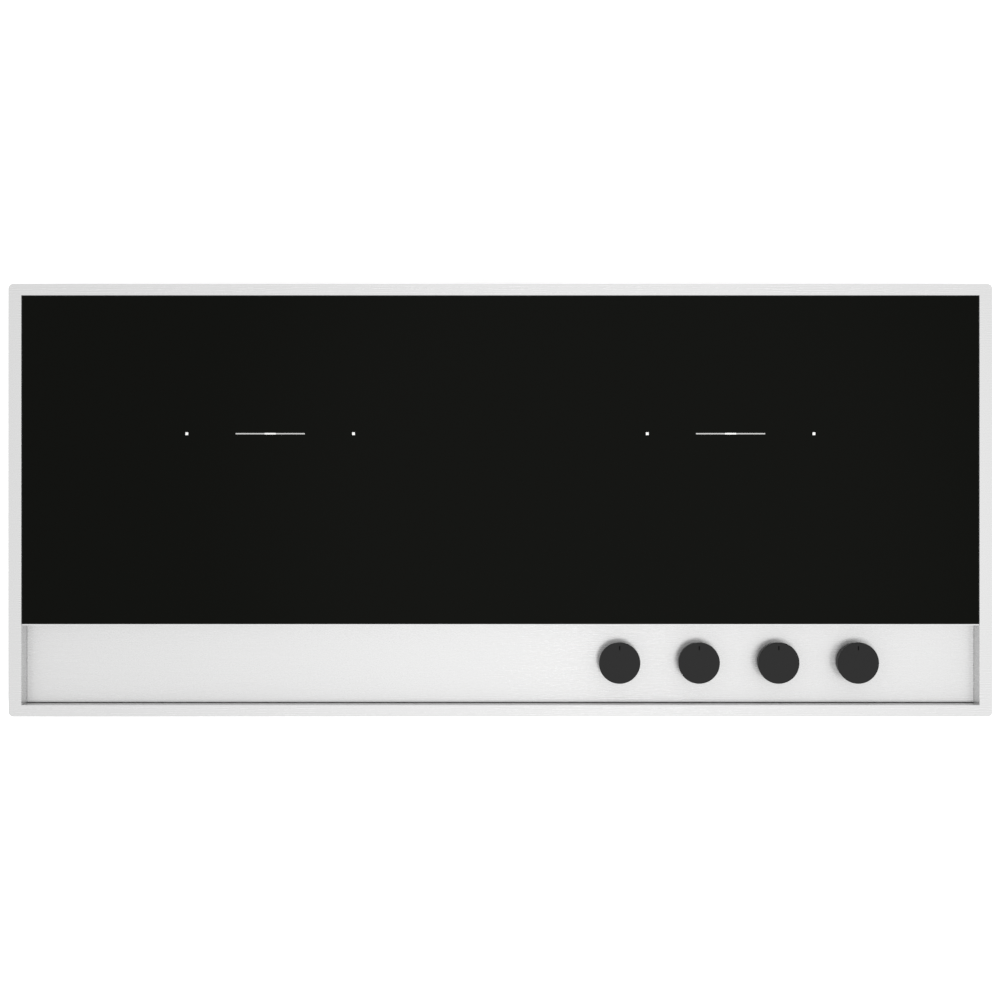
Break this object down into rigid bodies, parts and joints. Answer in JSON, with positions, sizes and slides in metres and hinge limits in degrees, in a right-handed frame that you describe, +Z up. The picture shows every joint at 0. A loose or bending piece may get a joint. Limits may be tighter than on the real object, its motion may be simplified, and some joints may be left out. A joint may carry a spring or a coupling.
{
  "type": "induction cooktop",
  "caption": "Built-in induction cooktop: black ceramic glass in a brushed steel frame, with a sunken steel strip of push-and-turn knobs along the front right.",
  "frame": {"origin": "on the tray's underside, in the middle of the frame's width and depth", "axes": "+X to the user's right along the width, +Y to the rear, +Z up out of the glass"},
  "size_m": [1.2, 0.528, 0.0735],
  "materials": {
    "stainless_frame": "brushed along the length",
    "stainless_strip": "brushed along the length",
    "black_glass": "polished, opaque black",
    "silicone": "matt",
    "foam_tape": "matt closed cell foam",
    "galvanised_steel": "galvanised",
    "aluminium_sheet": "mill finish",
    "aluminium_sink": "extruded",
    "carrier_plastic": "moulded, glass filled",
    "copper_litz": "varnished copper wire",
    "ferrite": "sintered",
    "mica": "pressed sheet",
    "spring_steel": "bright",
    "white_plastic": "moulded",
    "circuit_board": "solder mask",
    "black_plastic": "moulded",
    "capacitor_case": "moulded",
    "choke_core": "coated core with wire",
    "plated_steel": "zinc plated",
    "knob_black": "matt black",
    "lead_sleeve": "silicone sleeve"
  },
  "bodies": {
    "case": {"trim_frame": "stainless_frame", "glass_top": "black_glass", "glass_seal": "silicone", "glass_ledge": "galvanised_steel", "control_panel": "stainless_strip", "worktop_seal": "foam_tape", "bottom_tray": "galvanised_steel", "coil_decks": "aluminium_sheet", "coil_carrier_left_front": "carrier_plastic", "coil_carrier_left_rear": "carrier_plastic", "coil_carrier_right_front": "carrier_plastic", "coil_carrier_right_rear": "carrier_plastic", "coil_winding_left_front": "copper_litz", "coil_winding_left_rear": "copper_litz", "coil_winding_right_front": "copper_litz", "coil_winding_right_rear": "copper_litz", "ferrite_bars": "ferrite", "mica_sheets": "mica", "coil_springs": "spring_steel", "temperature_sensors": "white_plastic", "power_board_left": "circuit_board", "power_board_right": "circuit_board", "heatsink_left": "aluminium_sink", "heatsink_right": "aluminium_sink", "power_transistors": "black_plastic", "capacitors": "capacitor_case", "chokes": "choke_core", "filter_board": "circuit_board", "terminal_block": "white_plastic", "terminal_cover": "black_plastic", "cable_gland": "black_plastic", "fan_housing_left": "black_plastic", "fan_housing_right": "black_plastic", "air_ducts": "black_plastic", "control_board": "circuit_board", "encoders": "black_plastic", "encoder_nuts": "plated_steel", "bush_seals": "silicone", "return_spring_1": "spring_steel", "return_spring_2": "spring_steel", "return_spring_3": "spring_steel", "return_spring_4": "spring_steel", "mounting_clips": "spring_steel", "case_screws": "plated_steel", "internal_leads": "lead_sleeve"},
    "rotor_1": {"rotor_1": "white_plastic"},
    "knob_1": {"knob_1": "knob_black", "spindle_1": "plated_steel"},
    "rotor_2": {"rotor_2": "white_plastic"},
    "knob_2": {"knob_2": "knob_black", "spindle_2": "plated_steel"},
    "rotor_3": {"rotor_3": "white_plastic"},
    "knob_3": {"knob_3": "knob_black", "spindle_3": "plated_steel"},
    "rotor_4": {"rotor_4": "white_plastic"},
    "knob_4": {"knob_4": "knob_black", "spindle_4": "plated_steel"},
    "fan_left": {"fan_impeller_left": "black_plastic"},
    "fan_right": {"fan_impeller_right": "black_plastic"}
  },
  "joints": [
    {"name": "knob_1_turn", "type": "hinge", "parent": "case", "child": "rotor_1", "pos_m": [0.1454, -0.1986, 0.051], "axis": [0, 0, 1], "range_deg": [-270, 0]},
    {"name": "knob_1_push", "type": "slide", "parent": "rotor_1", "child": "knob_1", "axis": [0, 0, 1], "range_m": [-0.002, 0], "stiffness_N_per_m": 1500, "springref_m": 0.002, "deforming": ["return_spring_1"]},
    {"name": "knob_2_turn", "type": "hinge", "parent": "case", "child": "rotor_2", "pos_m": [0.2424, -0.1986, 0.051], "axis": [0, 0, 1], "range_deg": [-270, 0]},
    {"name": "knob_2_push", "type": "slide", "parent": "rotor_2", "child": "knob_2", "axis": [0, 0, 1], "range_m": [-0.002, 0], "stiffness_N_per_m": 1500, "springref_m": 0.002, "deforming": ["return_spring_2"]},
    {"name": "knob_3_turn", "type": "hinge", "parent": "case", "child": "rotor_3", "pos_m": [0.3394, -0.1986, 0.051], "axis": [0, 0, 1], "range_deg": [-270, 0]},
    {"name": "knob_3_push", "type": "slide", "parent": "rotor_3", "child": "knob_3", "axis": [0, 0, 1], "range_m": [-0.002, 0], "stiffness_N_per_m": 1500, "springref_m": 0.002, "deforming": ["return_spring_3"]},
    {"name": "knob_4_turn", "type": "hinge", "parent": "case", "child": "rotor_4", "pos_m": [0.4364, -0.1986, 0.051], "axis": [0, 0, 1], "range_deg": [-270, 0]},
    {"name": "knob_4_push", "type": "slide", "parent": "rotor_4", "child": "knob_4", "axis": [0, 0, 1], "range_m": [-0.002, 0], "stiffness_N_per_m": 1500, "springref_m": 0.002, "deforming": ["return_spring_4"]},
    {"name": "fan_left_spin", "type": "hinge", "parent": "case", "child": "fan_left", "pos_m": [-0.4639, 0.0652, 0.001], "axis": [0, 0, 1], "continuous": true},
    {"name": "fan_right_spin", "type": "hinge", "parent": "case", "child": "fan_right", "pos_m": [0.4639, 0.0652, 0.001], "axis": [0, 0, 1], "continuous": true}
  ]
}
